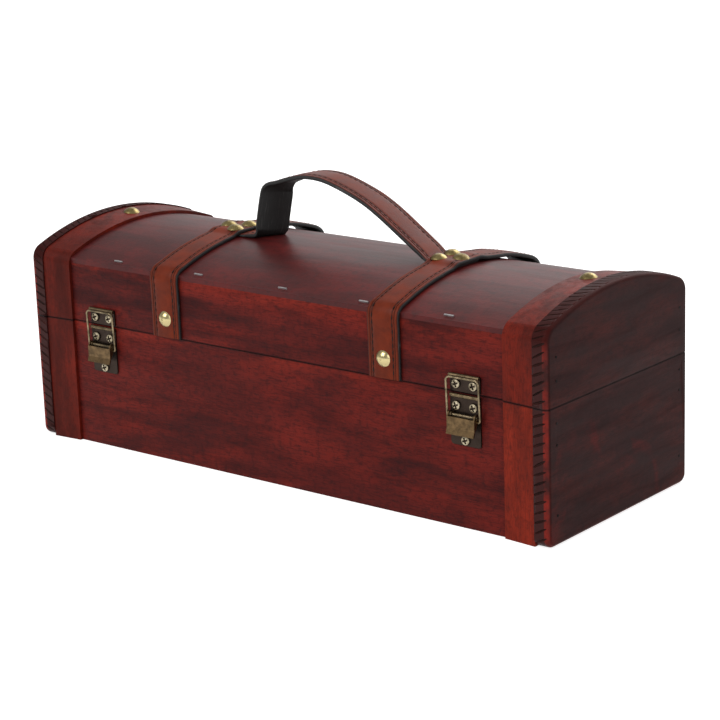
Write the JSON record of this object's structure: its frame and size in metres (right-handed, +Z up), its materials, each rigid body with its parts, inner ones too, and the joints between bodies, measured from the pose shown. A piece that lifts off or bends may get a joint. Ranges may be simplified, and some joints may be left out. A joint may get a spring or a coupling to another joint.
{
  "type": "wooden toolbox",
  "caption": "Long wooden case with a domed hinged lid, proud end boards, two leather straps with a leather handle, domed nails and front toggle latches.",
  "frame": {"origin": "middle of the flat underside of the base", "axes": "+X along the case to the right seen from the front, +Y from the latches to the hinges, +Z up"},
  "size_m": [0.3554, 0.1312, 0.1578],
  "materials": {
    "wall_wood": "mahogany stain under satin varnish, streaked grain",
    "end_board_wood": "dark mahogany stain, mottled",
    "trim_wood": "orange-red stain under satin varnish",
    "dome_wood": "dark red stain under satin varnish",
    "bottom_wood": "thin brown stain",
    "strap_leather": "smooth red-brown leather with dark stitched edges",
    "handle_leather": "smooth red-brown leather, black underside",
    "nail_brass": "polished brass",
    "screw_brass": "antique brass",
    "latch_plate_brass": "dark antique brass",
    "latch_lever_brass": "antique brass",
    "latch_wire_brass": "antique brass wire",
    "hinge_brass": "antique brass",
    "brad_steel": "dark steel",
    "staple_steel": "bright wire"
  },
  "bodies": {
    "base": {"base_back_left_trim": "trim_wood", "base_back_right_trim": "trim_wood", "base_back_wall": "wall_wood", "base_bottom_panel": "bottom_wood", "base_end_brads": "brad_steel", "base_front_left_trim": "trim_wood", "base_front_right_trim": "trim_wood", "base_front_wall": "wall_wood", "base_left_end_board": "end_board_wood", "base_right_end_board": "end_board_wood", "left_hinge_base_leaf": "hinge_brass", "left_hinge_base_screws": "screw_brass", "left_hinge_pin": "hinge_brass", "left_latch_base_plate": "latch_plate_brass", "left_latch_base_screws": "screw_brass", "left_latch_pivot_pin": "latch_wire_brass", "right_hinge_base_leaf": "hinge_brass", "right_hinge_base_screws": "screw_brass", "right_hinge_pin": "hinge_brass", "right_latch_base_plate": "latch_plate_brass", "right_latch_base_screws": "screw_brass", "right_latch_pivot_pin": "latch_wire_brass"},
    "lid": {"dome_staples": "staple_steel", "handle": "handle_leather", "handle_nails": "nail_brass", "left_hinge_lid_leaf": "hinge_brass", "left_hinge_lid_screws": "screw_brass", "left_latch_catch_plate": "latch_plate_brass", "left_latch_catch_screws": "screw_brass", "left_strap": "strap_leather", "lid_back_wall": "wall_wood", "lid_dome_skin": "dome_wood", "lid_end_brads": "brad_steel", "lid_front_wall": "wall_wood", "lid_left_end_board": "end_board_wood", "lid_left_trim": "trim_wood", "lid_right_end_board": "end_board_wood", "lid_right_trim": "trim_wood", "right_hinge_lid_leaf": "hinge_brass", "right_hinge_lid_screws": "screw_brass", "right_latch_catch_plate": "latch_plate_brass", "right_latch_catch_screws": "screw_brass", "right_strap": "strap_leather", "strap_nails": "nail_brass", "trim_nails": "nail_brass"},
    "left_lever": {"left_latch_lever": "latch_lever_brass"},
    "left_bail": {"left_latch_bail": "latch_wire_brass"},
    "right_lever": {"right_latch_lever": "latch_lever_brass"},
    "right_bail": {"right_latch_bail": "latch_wire_brass"}
  },
  "joints": [
    {"name": "lid_hinge", "type": "hinge", "parent": "base", "child": "lid", "pos_m": [0, 0.0625, 0.07115], "axis": [-1, 0, 0], "range_deg": [0, 100]},
    {"name": "left_lever_pivot", "type": "hinge", "parent": "base", "child": "left_lever", "pos_m": [-0.126, -0.063, 0.06], "axis": [-1, 0, 0], "range_deg": [0, 120]},
    {"name": "left_bail_pivot", "type": "hinge", "parent": "left_lever", "child": "left_bail", "pos_m": [-0.126, -0.0625, 0.0578], "axis": [-1, 0, 0], "range_deg": [-150, 0]},
    {"name": "right_lever_pivot", "type": "hinge", "parent": "base", "child": "right_lever", "pos_m": [0.126, -0.063, 0.06], "axis": [-1, 0, 0], "range_deg": [0, 120]},
    {"name": "right_bail_pivot", "type": "hinge", "parent": "right_lever", "child": "right_bail", "pos_m": [0.126, -0.0625, 0.0578], "axis": [-1, 0, 0], "range_deg": [-150, 0]}
  ],
  "couplings": [
    {"joint": "left_bail_pivot", "follows": "left_lever_pivot", "ratio": -1.25},
    {"joint": "right_bail_pivot", "follows": "right_lever_pivot", "ratio": -1.25}
  ]
}
